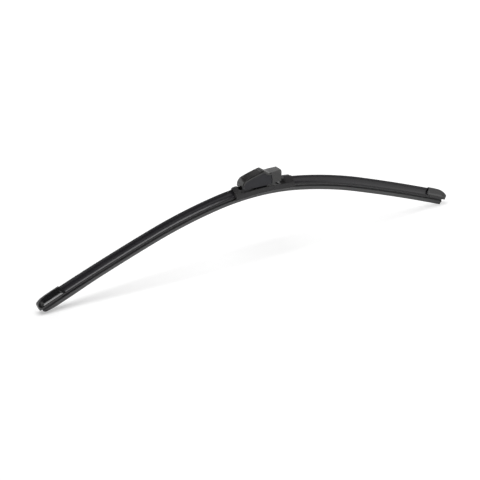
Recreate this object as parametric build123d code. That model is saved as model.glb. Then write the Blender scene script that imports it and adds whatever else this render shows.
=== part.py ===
from build123d import *
import os
from math import copysign, cos, degrees, sin

# Beam-type windscreen wiper blade in its free, arched state, in millimetres.
# The origin is on the axis of the barrel that the arm's hook goes round, which is also the blade's pivot.
# +X runs along the blade, +Z away from the glass, and the spoiler's hollow face looks towards -Y.
# A section is drawn across the blade: its x is the row's Y, and its y is the height above the rails' middle.

# Blade and arch
BLADE_LENGTH = 604.0
ARCH_RADIUS = 283.4
ARCH_FADE = 1.8
ARC_SHARES = (0.2, 0.5, 1.0)
PIVOT_HEIGHT = 12.0
END_SHIFT = 1.5

# Rails
RAIL_WIDTH = 2.3
RAIL_THICK = 0.9
RAIL_INNER = 1.0
RAIL_END_GAP = 3.0
RAIL_CLEARANCE = 0.15
NOTCH_LENGTH = 3.0
NOTCH_DEPTH = 0.7
NOTCH_FROM_END = 10.0

# Rubber
LIP_DEPTH = 9.4
LIP_HALF = 0.3
LIP_ROOT_HALF = 0.7
LIP_ROOT_HEIGHT = 3.0
WING_HALF = 2.1
WING_THICK = 0.75
NECK_HALF = 0.5
NECK_HEIGHT = 0.8
HEEL_HEIGHT = 0.9
FLANGE_HALF = 2.4
FLANGE_THICK = 1.65
GROOVE_CLEARANCE = 0.1
HEAD_HALF = 1.9
HEAD_THICK = 1.1

# Spoiler
CLAW_WALL = 0.75
CLAW_LIP = 0.45
CLAW_BEVEL = 0.6
RIDGE_BEVEL = 0.4
CLAW_REACH_GAP = 0.3
HEAD_CLEARANCE = 0.25
FOOT_HEIGHT = 1.8
FIN_HEIGHT = 7.55
FIN_CREST_Y = 1.3
FIN_CREST_HALF = 0.6
FIN_HOLLOW = 1.15
SPOILER_ENTRY = 6.0

# End caps
CAP_LENGTH = 36.0
CAP_OVERHANG = 4.0
CAP_PROUD = 1.2
CAP_CLEARANCE = 0.15
CAP_NOSE_LENGTH = 20.0
CAP_NOSE_HEIGHT = 2.0
CAP_NOSE_BULGE = 0.42
CAP_NOSE_CROWN = 0.66
CAP_BOTTOM = 1.0
CAP_BEVEL = 0.9
CAP_CORNER = 4.0
CAP_RAKE = 4.0
CAP_SCOOP_DEPTH = 1.0
CAP_SCOOP_SHARE = 0.8
CAP_SCOOP_END = 9.0
CAP_SCOOP_START = 11.0
CAP_SCOOP_TAPER = 4.5

# Bracket, pivot and connector
STEEL_THICK = 1.0
BRACKET_HALF_LENGTH = 25.0
CLAW_NEAR = 12.0
CLAW_FAR = 23.0
EAR_INNER = 4.6
EAR_TIP_HALF = 4.0
EAR_FOOT_HALF = 8.0
RIVET_RADIUS = 2.0
PIVOT_CLEARANCE = 0.05
WALL_INNER = 7.45
WALL_THICK = 0.95
WALL_TOP = 4.6
LEDGE_TOP = 2.2
SKIRT_BOTTOM = 2.6
SKIRT_BEVEL = 0.6
SKIRT_LIP_INNER = 2.95
SEAT_CLEARANCE = 0.1
LEFT_COLLAR_NEAR = 30.2
LEFT_COLLAR_LENGTH = 5.6
LEFT_COLLAR_LIP = 1.0
RIGHT_COLLAR_NEAR = 33.0
RIGHT_COLLAR_LENGTH = 9.0
RIGHT_COLLAR_LIP = 3.5
COLLAR_END_WALL = 2.0
COLLAR_RISE = 2.0
COLLAR_LIP_PROUD = 0.7
COLLAR_CLEARANCE = 0.15
DECK_THICK = 1.0
GUSSET_TOP = 8.4
GUSSET_LENGTH = 11.0

# Adapter: hook of the wiper arm, body and flip cover
HOOK_WIDTH = 9.0
HOOK_THICK = 3.0
HOOK_GAP = 7.0
HOOK_SIDE_CLEARANCE = 0.1
CHEEK_THICK = 1.1
CHEEK_BOTTOM = -5.7
NOSE_X = -27.8
NOSE_KNEE = (-21.5, 7.2)
NOSE_SPRING_Z = -1.5
NOSE_BOTTOM = -4.6
CREST = (3.2, 13.6)
CREST_RADIUS = 4.0
SADDLE_X = 9.6
SADDLE_RADIUS = 5.0
SADDLE_Z = 9.0
REAR_X = 27.6
REAR_TOP = 10.0
REAR_CORNER = 1.2
SHOULDER_START_X = 10.5
SHOULDER_TOP_HALF = 4.9
SHOULDER_BOTTOM_Z = 5.8
ARM_WAY_TOP = 8.0
COVER_HALF = 7.3
COVER_WALL = 1.0
COVER_RIM = 2.6
COVER_EDGE = 0.8
PARTING_GAP = 0.3
APRON_X = 14.0
APRON_WALL = 1.05
APRON_FRONT_Z = -5.2
APRON_REAR_Z = -4.0
TAIL_THICK = 1.0
HINGE_X = -25.6
HINGE_Z = -2.6
HINGE_BARREL_RADIUS = 1.7
HINGE_LOBE_RADIUS = 2.2
HINGE_PIN_RADIUS = 1.0
HINGE_CLEARANCE = 0.05
STOP_RIB_THICK = 1.5
STOP_RIB_HALF = 3.0
STOP_RIB_BOTTOM = 2.0
STOP_RIB_GAP = 0.5
CROSS_WALL = 3.0
CROSS_WALL_X = 17.0
NOSE_WALL = 1.2
NOSE_WALL_X = -23.3
NOSE_WALL_TOP = -1.0
GRIP_RIB_HEIGHT = 0.8
GRIP_RIB_HALF = 5.0
GRIP_RIB_PITCH = 2.2
GRIP_RIB_COUNT = 3

# Heights and widths that follow from the sizes above
HALF = BLADE_LENGTH / 2
END_S = {-1: HALF + END_SHIFT, 1: HALF - END_SHIFT}
BREAKS = [HALF * share for share in ARC_SHARES]
KNOTS = [-s for s in reversed(BREAKS)] + BREAKS
SLOT_HALF = RAIL_THICK / 2 + RAIL_CLEARANCE
SLOT_OUTER = RAIL_INNER + RAIL_WIDTH + RAIL_CLEARANCE
FOOT_HALF = SLOT_OUTER + CLAW_WALL
CLAW_BOTTOM = -SLOT_HALF - CLAW_LIP
GROOVE_HALF = RAIL_THICK / 2 + GROOVE_CLEARANCE
HEAD_TOP = GROOVE_HALF + HEAD_THICK
CHANNEL_TOP = HEAD_TOP + HEAD_CLEARANCE
CHANNEL_HALF = HEAD_HALF + HEAD_CLEARANCE
FIN_TOP = FOOT_HEIGHT + FIN_HEIGHT
CAP_INNER_S = {side: END_S[side] + CAP_OVERHANG - CAP_LENGTH for side in END_S}
COLLAR_NEAR = {-1: LEFT_COLLAR_NEAR, 1: RIGHT_COLLAR_NEAR}
COLLAR_FAR = {-1: LEFT_COLLAR_NEAR + LEFT_COLLAR_LENGTH, 1: RIGHT_COLLAR_NEAR + RIGHT_COLLAR_LENGTH}
LIP_FAR = {-1: COLLAR_FAR[-1] + LEFT_COLLAR_LIP, 1: COLLAR_FAR[1] + RIGHT_COLLAR_LIP}
SPOILER_FAR = {side: CAP_INNER_S[side] + SPOILER_ENTRY for side in END_S}
BRACKET_TOP = CHANNEL_TOP + STEEL_THICK
EAR_OUTER = EAR_INNER + STEEL_THICK
WALL_OUTER = WALL_INNER + WALL_THICK
LEDGE_INNER = EAR_OUTER + SEAT_CLEARANCE
BARREL_RADIUS = HOOK_GAP / 2
BARREL_HALF = HOOK_WIDTH / 2
CHEEK_INNER = EAR_OUTER + HOOK_SIDE_CLEARANCE
CHEEK_OUTER = CHEEK_INNER + CHEEK_THICK
APRON_INNER = COVER_HALF - APRON_WALL
TAIL_OUTER = APRON_INNER - PARTING_GAP
TAIL_INNER = TAIL_OUTER - TAIL_THICK


def turn(s):
    """Angle that the spine has turned down by at arc length s, with curvature fading to the ends."""
    share = min(abs(s) / HALF, 1.0)
    power = ARCH_FADE + 1
    return copysign(HALF / (ARCH_RADIUS * power) * (1 - (1 - share) ** power), s)


def spine(s):
    """Point and downward angle of the spine, a chain of tangent arcs, at arc length s from the middle."""
    x, z, angle, start = 0.0, 0.0, 0.0, 0.0
    reach = abs(s)
    for knot in BREAKS:
        length = min(reach, knot) - start
        if length <= 0:
            break
        bend = (turn(knot) - turn(start)) / (knot - start)
        after = angle + bend * length
        x += (sin(after) - sin(angle)) / bend
        z -= (cos(angle) - cos(after)) / bend
        angle, start = after, knot
    beyond = max(reach - HALF, 0.0)
    x += beyond * cos(angle)
    z -= beyond * sin(angle)
    return Vector(copysign(x, s), 0, z - PIVOT_HEIGHT), copysign(angle, s)


def across(s):
    """Plane square to the spine at arc length s: its x is the row's Y, and its y is the height."""
    point, angle = spine(s)
    return Plane(origin=point, x_dir=(0, 1, 0), z_dir=(cos(angle), 0, -sin(angle)))


def carry(section, start, end):
    """Carry a section along the spine, turned about each arc's centre and straight past the rubber's ends."""
    stops = [start] + [knot for knot in KNOTS if start < knot < end] + [end]
    runs = []
    for first, last in zip(stops, stops[1:]):
        plane = across(first)
        bend = spine(last)[1] - spine(first)[1]
        if abs(bend) < 1e-9:
            runs.append(extrude(plane * section, amount=last - first, dir=plane.z_dir))
        else:
            centre = plane.origin - plane.y_dir * ((last - first) / bend)
            axis = Axis(centre, (0, 1, 0))
            runs.append(revolve(plane * section, axis, revolution_arc=degrees(bend)))
    whole = runs[0]
    for run in runs[1:]:
        whole = whole + run
    return whole


def carry_side(section, side, near, far):
    """Carry a section over the same stretch of the left (-1) or right (+1) half."""
    return carry(section, *sorted((side * near, side * far)))


def outline(points):
    """Closed straight-sided face."""
    return make_face(Polyline(*points, close=True))


def both_sides(points):
    """Closed face from the +y half of a symmetrical outline, listed from bottom to top."""
    return outline(points + [(-x, y) for x, y in reversed(points)])


def block(x, y, z):
    """Box from its low and high limits along each axis."""
    size = [limits[1] - limits[0] for limits in (x, y, z)]
    middle = [(limits[0] + limits[1]) / 2 for limits in (x, y, z)]
    return Pos(*middle) * Box(*size)


def side_plate(face, low, high):
    """Side-view face, drawn in x and z, given the thickness from y = low to y = high."""
    plane = Plane(origin=(0, high, 0), x_dir=(1, 0, 0), z_dir=(0, -1, 0))
    return extrude(plane * face, amount=high - low, dir=(0, -1, 0))


def cross_rod(x, z, radius, low, high):
    """Round rod along Y from y = low to y = high."""
    return side_plate(Pos(x, z) * Circle(radius), low, high)


def both_cheeks(face, low, high):
    """The same side plate on both sides of the middle plane."""
    return side_plate(face, low, high) + side_plate(face, -high, -low)


def rubber_section():
    """Lip, wings, neck, heel, flange, rail grooves and head of the rubber."""
    flange_top = -GROOVE_HALF
    flange_bottom = flange_top - FLANGE_THICK
    heel_bottom = flange_bottom - HEEL_HEIGHT
    neck_bottom = heel_bottom - NECK_HEIGHT
    wing_top = neck_bottom - WING_THICK / 2
    wing_bottom = wing_top - WING_THICK
    web_half = RAIL_INNER - RAIL_CLEARANCE
    return both_sides([
        (LIP_HALF, -LIP_DEPTH),
        (LIP_ROOT_HALF, -LIP_DEPTH + LIP_ROOT_HEIGHT),
        (WING_HALF, wing_bottom),
        (WING_HALF, wing_top),
        (NECK_HALF, neck_bottom),
        (NECK_HALF, heel_bottom),
        (FLANGE_HALF, flange_bottom),
        (FLANGE_HALF, flange_top),
        (web_half, flange_top),
        (web_half, GROOVE_HALF),
        (HEAD_HALF, GROOVE_HALF),
        (HEAD_HALF, HEAD_TOP),
    ])


def sagged_arc(first, last, depth):
    """Arc from first to last whose middle lies depth to the right of the straight line between them."""
    if depth == 0:
        return Line(first, last)
    chord = Vector(*last) - Vector(*first)
    aside = Vector(chord.Y, -chord.X).normalized() * depth
    middle = (Vector(*first) + Vector(*last)) / 2 + aside
    return ThreePointArc(first, (middle.X, middle.Y), last)


def fin_outline(foot_half, bottom, foot_top, fin_top, crest_half, hollow, belly):
    """Outside of the spoiler's section: foot, hollow front face, bevelled crest and straight back."""
    ridge = RIDGE_BEVEL
    crest_front = (FIN_CREST_Y - crest_half, fin_top - crest_half / 2)
    crest_back = (FIN_CREST_Y + crest_half, fin_top - crest_half / 2)
    crest_flat = crest_half / 2
    front_ridge = (-foot_half + ridge, foot_top)
    front = sagged_arc(front_ridge, crest_front, hollow)
    rest = Polyline(
        crest_front,
        (FIN_CREST_Y - crest_flat, fin_top),
        (FIN_CREST_Y + crest_flat, fin_top),
        crest_back,
        (foot_half, foot_top - ridge),
        (foot_half, bottom + belly),
        (foot_half - belly, bottom),
        (-foot_half + belly, bottom),
        (-foot_half, bottom + belly),
        (-foot_half, foot_top - ridge),
        front_ridge,
    )
    return make_face([front, rest])


def rail_channel():
    """Space in a claw: the slot for both rails, the rubber's head above and its flange below."""
    lip_inner = FLANGE_HALF + CLAW_REACH_GAP
    slot = Rectangle(2 * SLOT_OUTER, 2 * SLOT_HALF)
    head = Pos(0, CHANNEL_TOP / 2) * Rectangle(2 * CHANNEL_HALF, CHANNEL_TOP)
    below = LIP_DEPTH
    mouth = Pos(0, -below / 2) * Rectangle(2 * lip_inner, below)
    return slot + head + mouth


def spoiler_section():
    """Spoiler with claws round the rails."""
    outside = fin_outline(FOOT_HALF, CLAW_BOTTOM, FOOT_HEIGHT, FIN_TOP, FIN_CREST_HALF, FIN_HOLLOW, CLAW_BEVEL)
    return outside - rail_channel()


def socket_section(clearance):
    """Room for the spoiler's end, with a straight front, and for the rails and the rubber below it."""
    outside = fin_outline(FOOT_HALF, CLAW_BOTTOM, FOOT_HEIGHT, FIN_TOP, FIN_CREST_HALF, 0, CLAW_BEVEL)
    return offset(outside, clearance, kind=Kind.INTERSECTION) + rail_channel()


def make_rubber():
    """The rubber, over the whole length."""
    return carry(rubber_section(), -END_S[-1], END_S[1])


def make_rail(side):
    """Flat spring rail on the front (-1) or rear (+1) side, with a notch near each end for the cap."""
    middle = side * (RAIL_INNER + RAIL_WIDTH / 2)
    reach = {end: END_S[end] - RAIL_END_GAP for end in END_S}
    rail = carry(Pos(middle, 0) * Rectangle(RAIL_WIDTH, RAIL_THICK), -reach[-1], reach[1])
    outer = side * (RAIL_INNER + RAIL_WIDTH)
    notch = Pos(outer, 0) * Rectangle(2 * NOTCH_DEPTH, 2 * RAIL_THICK)
    for end in (-1, 1):
        last = reach[end] - NOTCH_FROM_END
        rail = rail - carry_side(notch, end, last - NOTCH_LENGTH, last)
    return rail


def make_spoiler(side):
    """Spoiler of the left (-1) or right (+1) half, from the collar into the end cap."""
    return carry_side(spoiler_section(), side, COLLAR_NEAR[side] + COLLAR_END_WALL, SPOILER_FAR[side])


def scoop_circle(face_low, face_high):
    """Centre and radius of the round tool that hollows out the middle share of a straight face."""
    low, high = Vector(*face_low), Vector(*face_high)
    along = high - low
    outward = Vector(-along.Y, along.X).normalized()
    half_chord = along.length * CAP_SCOOP_SHARE / 2
    radius = (half_chord**2 + CAP_SCOOP_DEPTH**2) / (2 * CAP_SCOOP_DEPTH)
    centre = (low + high) / 2 + outward * (radius - CAP_SCOOP_DEPTH)
    return centre, radius


def make_end_cap(side):
    """Cap over the spoiler's end: a sleeve with a scooped front face and a sloping, rounded nose."""
    tip = END_S[side] + CAP_OVERHANG
    half_width = FOOT_HALF + CAP_PROUD
    top = FIN_TOP + CAP_PROUD
    ridge_height = FOOT_HEIGHT + CAP_PROUD / 2
    crest_half = FIN_CREST_HALF + CAP_PROUD / 2
    section = fin_outline(half_width, -CAP_BOTTOM, ridge_height, top, crest_half, 0, CAP_BEVEL)
    shell = carry_side(section, side, CAP_INNER_S[side], tip)

    ridge = (-half_width + RIDGE_BEVEL, ridge_height)
    crest = (FIN_CREST_Y - crest_half, top - crest_half / 2)
    centre, radius = scoop_circle(ridge, crest)
    end = across(side * END_S[side])
    outward = end.z_dir * side
    scoop_plane = across(side * (tip - CAP_SCOOP_END))
    tool_origin = scoop_plane.origin + scoop_plane.x_dir * centre.X + scoop_plane.y_dir * centre.Y
    tool_view = Plane(origin=tool_origin, x_dir=scoop_plane.x_dir, z_dir=scoop_plane.y_dir * side)
    run = CAP_LENGTH - CAP_SCOOP_START - CAP_SCOOP_END
    narrow = radius - 1.2 * CAP_SCOOP_DEPTH
    tool = outline([
        (0, -CAP_SCOOP_TAPER), (narrow, -CAP_SCOOP_TAPER), (radius, 0), (radius, run),
        (narrow, run + CAP_SCOOP_TAPER), (0, run + CAP_SCOOP_TAPER),
    ])
    shell = shell - revolve(tool_view * tool, Axis(tool_origin, scoop_plane.z_dir), revolution_arc=360)

    side_view = Plane(origin=end.origin, x_dir=outward, z_dir=(0, -side, 0))
    nose_start = CAP_OVERHANG - CAP_NOSE_LENGTH
    nose_mid = (
        CAP_OVERHANG - CAP_NOSE_LENGTH * CAP_NOSE_BULGE,
        CAP_NOSE_HEIGHT + (top - CAP_NOSE_HEIGHT) * CAP_NOSE_CROWN,
    )
    beyond = 2 * CAP_OVERHANG
    nose_cut = make_face([
        ThreePointArc((nose_start, top), nose_mid, (CAP_OVERHANG, CAP_NOSE_HEIGHT)),
        Polyline(
            (CAP_OVERHANG, CAP_NOSE_HEIGHT), (beyond, CAP_NOSE_HEIGHT), (beyond, 2 * top),
            (nose_start, 2 * top), (nose_start, top),
        ),
    ])
    shell = shell - extrude(side_view * nose_cut, amount=2 * half_width, both=True)
    inner = CAP_OVERHANG - CAP_LENGTH
    rake_cut = outline([
        (inner + CAP_RAKE, top), (inner, ridge_height), (inner + CAP_RAKE, -CAP_BOTTOM),
        (inner + CAP_RAKE, -2 * top), (inner - CAP_RAKE, -2 * top), (inner - CAP_RAKE, 2 * top),
        (inner + CAP_RAKE, 2 * top),
    ])
    shell = shell - extrude(side_view * rake_cut, amount=2 * half_width, both=True)
    plan_view = Plane(origin=end.origin, x_dir=outward, z_dir=end.y_dir)
    plan = Pos(CAP_OVERHANG - CAP_LENGTH, 0) * Rectangle(2 * CAP_LENGTH, 2 * half_width)
    plan = fillet(plan.vertices().group_by(Axis.X)[-1], CAP_CORNER)
    shell = shell & extrude(plan_view * plan, amount=2 * top, both=True)

    socket = socket_section(CAP_CLEARANCE)
    shell = shell - carry_side(socket, side, CAP_INNER_S[side], SPOILER_FAR[side] + CAP_CLEARANCE)
    shell = shell - carry_side(rail_channel(), side, CAP_INNER_S[side], END_S[side] + CAP_CLEARANCE)

    reach = END_S[side] - RAIL_END_GAP
    lug_width = NOTCH_DEPTH + RAIL_CLEARANCE
    first = reach - NOTCH_FROM_END - NOTCH_LENGTH + RAIL_CLEARANCE
    last = reach - NOTCH_FROM_END - RAIL_CLEARANCE
    for across_side in (-1, 1):
        lug_middle = across_side * (SLOT_OUTER - lug_width / 2 + RAIL_CLEARANCE)
        lug = Pos(lug_middle, 0) * Rectangle(lug_width, 2 * SLOT_HALF)
        shell = shell + carry_side(lug, side, first, last)
    return shell


def make_bracket():
    """Folded steel bracket: a plate over the rubber's head, four claws round the rails and two ears."""
    plate = Pos(0, CHANNEL_TOP + STEEL_THICK / 2) * Rectangle(2 * EAR_OUTER, STEEL_THICK)
    bracket = carry(plate, -BRACKET_HALF_LENGTH, BRACKET_HALF_LENGTH)
    claw_bottom = -SLOT_HALF - STEEL_THICK
    claw_height = BRACKET_TOP - claw_bottom
    claw_half = SLOT_OUTER + STEEL_THICK
    claw_outside = Pos(0, claw_bottom + claw_height / 2) * Rectangle(2 * claw_half, claw_height)
    claw_space = Pos(0, CHANNEL_TOP / 2 - SLOT_HALF / 2) * Rectangle(2 * SLOT_OUTER, CHANNEL_TOP + SLOT_HALF)
    claw_mouth = Pos(0, claw_bottom) * Rectangle(2 * (FLANGE_HALF + CLAW_REACH_GAP), claw_height)
    for side in (-1, 1):
        claws = claw_outside - claw_space - claw_mouth
        bracket = bracket + carry_side(claws, side, CLAW_NEAR, CLAW_FAR)

    plate_z = BRACKET_TOP - PIVOT_HEIGHT - STEEL_THICK / 2
    tip_flat = EAR_TIP_HALF * 0.41
    ear = both_sides([
        (EAR_FOOT_HALF, plate_z - STEEL_THICK / 4), (EAR_FOOT_HALF, plate_z + STEEL_THICK / 4),
        (EAR_TIP_HALF, -tip_flat), (EAR_TIP_HALF, tip_flat), (tip_flat, EAR_TIP_HALF),
    ])
    ear = ear - Circle(RIVET_RADIUS)
    return bracket + both_cheeks(ear, EAR_INNER, EAR_OUTER)


def make_rivet():
    """Pivot rivet, pressed into both ears."""
    return cross_rod(0, 0, RIVET_RADIUS, -EAR_OUTER, EAR_OUTER)


def connector_rail(side):
    """Section of the connector's front (-1) or rear (+1) wall, with its ledge and its lip under the claws."""
    lip_top = -SLOT_HALF - STEEL_THICK - SEAT_CLEARANCE
    points = [
        (SKIRT_LIP_INNER, -SKIRT_BOTTOM),
        (WALL_OUTER - SKIRT_BEVEL, -SKIRT_BOTTOM),
        (WALL_OUTER, -SKIRT_BOTTOM + SKIRT_BEVEL),
        (WALL_OUTER, WALL_TOP - SKIRT_BEVEL / 2),
        (WALL_OUTER - SKIRT_BEVEL / 2, WALL_TOP),
        (WALL_INNER, WALL_TOP),
        (WALL_INNER, LEDGE_TOP),
        (LEDGE_INNER, LEDGE_TOP),
        (LEDGE_INNER, lip_top),
        (SKIRT_LIP_INNER, lip_top),
    ]
    return outline([(side * x, y) for x, y in points])


def collar_outline(rise):
    """Outside of a collar: as wide as the connector's walls, with its crest above the spoiler's by rise."""
    crest_half = FIN_CREST_HALF + (WALL_OUTER - FOOT_HALF) / 2
    return fin_outline(WALL_OUTER, -SKIRT_BOTTOM, WALL_TOP, FIN_TOP + rise, crest_half, 0, CLAW_BEVEL)


def make_connector():
    """Moulded frame: two walls beside the bracket, a collar at each end and a gusset behind the nose."""
    frame = carry(connector_rail(-1), -COLLAR_FAR[-1], COLLAR_FAR[1])
    frame = frame + carry(connector_rail(1), -COLLAR_FAR[-1], COLLAR_FAR[1])
    collar = collar_outline(COLLAR_RISE)
    lip = collar_outline(COLLAR_LIP_PROUD)
    deck_bottom = BRACKET_TOP + SEAT_CLEARANCE
    deck = Pos(0, deck_bottom + DECK_THICK / 2) * Rectangle(2 * WALL_INNER + WALL_THICK, DECK_THICK)
    socket = socket_section(COLLAR_CLEARANCE)
    for side in (-1, 1):
        spoiler_end = COLLAR_NEAR[side] + COLLAR_END_WALL
        frame = frame + carry_side(collar, side, COLLAR_NEAR[side], COLLAR_FAR[side])
        frame = frame + carry_side(lip, side, COLLAR_FAR[side], LIP_FAR[side])
        frame = frame + carry_side(deck, side, BRACKET_HALF_LENGTH, COLLAR_NEAR[side])
        frame = frame - carry_side(socket, side, spoiler_end, LIP_FAR[side])
        frame = frame - carry_side(rail_channel(), side, BRACKET_HALF_LENGTH, spoiler_end)
    root = spine(-(COLLAR_NEAR[-1] + COLLAR_END_WALL / 2))[0]
    gusset = outline([
        (root.X, root.Z + LEDGE_TOP), (root.X + GUSSET_LENGTH, root.Z + LEDGE_TOP),
        (root.X + GUSSET_LENGTH, root.Z + WALL_TOP), (root.X, root.Z + GUSSET_TOP),
    ])
    return frame + side_plate(gusset, WALL_INNER, WALL_OUTER)


def cover_outline():
    """Side view of the adapter: round nose, domed top, saddle, rising hood and rear end, open below."""
    below = 3 * NOSE_BOTTOM
    saddle = (SADDLE_X, SADDLE_Z)
    rear_corner = (REAR_X, REAR_TOP)
    nose = TangentArc((NOSE_X, NOSE_SPRING_Z), NOSE_KNEE, tangent=(0, 1))
    dome = TangentArc(NOSE_KNEE, CREST, tangent=nose % 1)
    rest = Polyline(CREST, saddle, rear_corner, (REAR_X, below), (NOSE_X, below), (NOSE_X, NOSE_SPRING_Z))
    face = make_face([nose, dome, rest])
    for corner, radius in ((CREST, CREST_RADIUS), (saddle, SADDLE_RADIUS), (rear_corner, REAR_CORNER)):
        nearest = face.vertices().sort_by_distance((*corner, 0))[0]
        face = fillet(nearest, radius)
    return face


def hinge_disc(gap):
    """Side-view disc about the cover's hinge, out to the apron's front edge less a gap."""
    return Pos(HINGE_X, HINGE_Z) * Circle(APRON_X - HINGE_X - gap)


def make_adapter_body():
    """Two cheeks, the barrel and web inside the arm's hook, and the tails beside the arm."""
    cheek = offset(cover_outline(), -(COVER_RIM + PARTING_GAP))
    above = outline([(NOSE_X, CHEEK_BOTTOM), (REAR_X, CHEEK_BOTTOM), (REAR_X, CREST[1]), (NOSE_X, CREST[1])])
    cheek = cheek & above & hinge_disc(PARTING_GAP)
    lobe = Pos(HINGE_X, HINGE_Z) * Circle(HINGE_LOBE_RADIUS)
    neck = outline([
        (HINGE_X, HINGE_Z - HINGE_LOBE_RADIUS), (NOSE_WALL_X, CHEEK_BOTTOM),
        (NOSE_WALL_X, HINGE_Z + HINGE_LOBE_RADIUS), (HINGE_X, HINGE_Z + HINGE_LOBE_RADIUS),
    ])
    pin_hole = Pos(HINGE_X, HINGE_Z) * Circle(HINGE_PIN_RADIUS + HINGE_CLEARANCE)
    cheek = cheek + lobe + neck - pin_hole
    body = both_cheeks(cheek, CHEEK_INNER, CHEEK_OUTER)

    tail_top = SHOULDER_BOTTOM_Z - PARTING_GAP
    tail_front = APRON_X - CROSS_WALL
    tail_rear = REAR_X - REAR_CORNER
    tail = outline([
        (tail_front, APRON_FRONT_Z + PARTING_GAP), (tail_rear, APRON_REAR_Z + PARTING_GAP),
        (tail_rear, tail_top), (tail_front, tail_top),
    ])
    body = body + both_cheeks(tail, TAIL_INNER, TAIL_OUTER)

    cross_far = CROSS_WALL_X + CROSS_WALL
    inside = (TAIL_INNER + TAIL_OUTER) / 2
    body = body + block((CROSS_WALL_X, cross_far), (-inside, inside), (-BARREL_RADIUS, BARREL_RADIUS))
    nose_wall = (NOSE_WALL_X, NOSE_WALL_X + NOSE_WALL)
    body = body + block(nose_wall, (-CHEEK_INNER, CHEEK_INNER), (CHEEK_BOTTOM, NOSE_WALL_TOP))

    web = (0, CROSS_WALL_X)
    body = body + block(web, (-BARREL_HALF, BARREL_HALF), (-BARREL_RADIUS, BARREL_RADIUS))
    body = body + cross_rod(0, 0, BARREL_RADIUS, -BARREL_HALF, BARREL_HALF)
    bore = RIVET_RADIUS + PIVOT_CLEARANCE
    return body - cross_rod(0, 0, bore, -BARREL_HALF, BARREL_HALF)


def shoulder_wedge(side):
    """What is cut off beside the hood, so that its top narrows to the rear between two sloping shoulders."""
    start = Vector(SHOULDER_START_X, side * COVER_HALF, SADDLE_Z)
    top = Vector(REAR_X, side * SHOULDER_TOP_HALF, REAR_TOP)
    bottom = Vector(REAR_X, side * COVER_HALF, SHOULDER_BOTTOM_Z)
    outward = (top - start).cross(bottom - start) * side
    slope = Plane(origin=start, x_dir=top - start, z_dir=outward)
    size = REAR_X
    beyond = slope * Pos(0, 0, size) * Box(4 * size, 4 * size, 2 * size)
    hood = block((SHOULDER_START_X, 2 * REAR_X), (-2 * COVER_HALF, 2 * COVER_HALF), (0, 2 * CREST[1]))
    return beyond & hood


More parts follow.
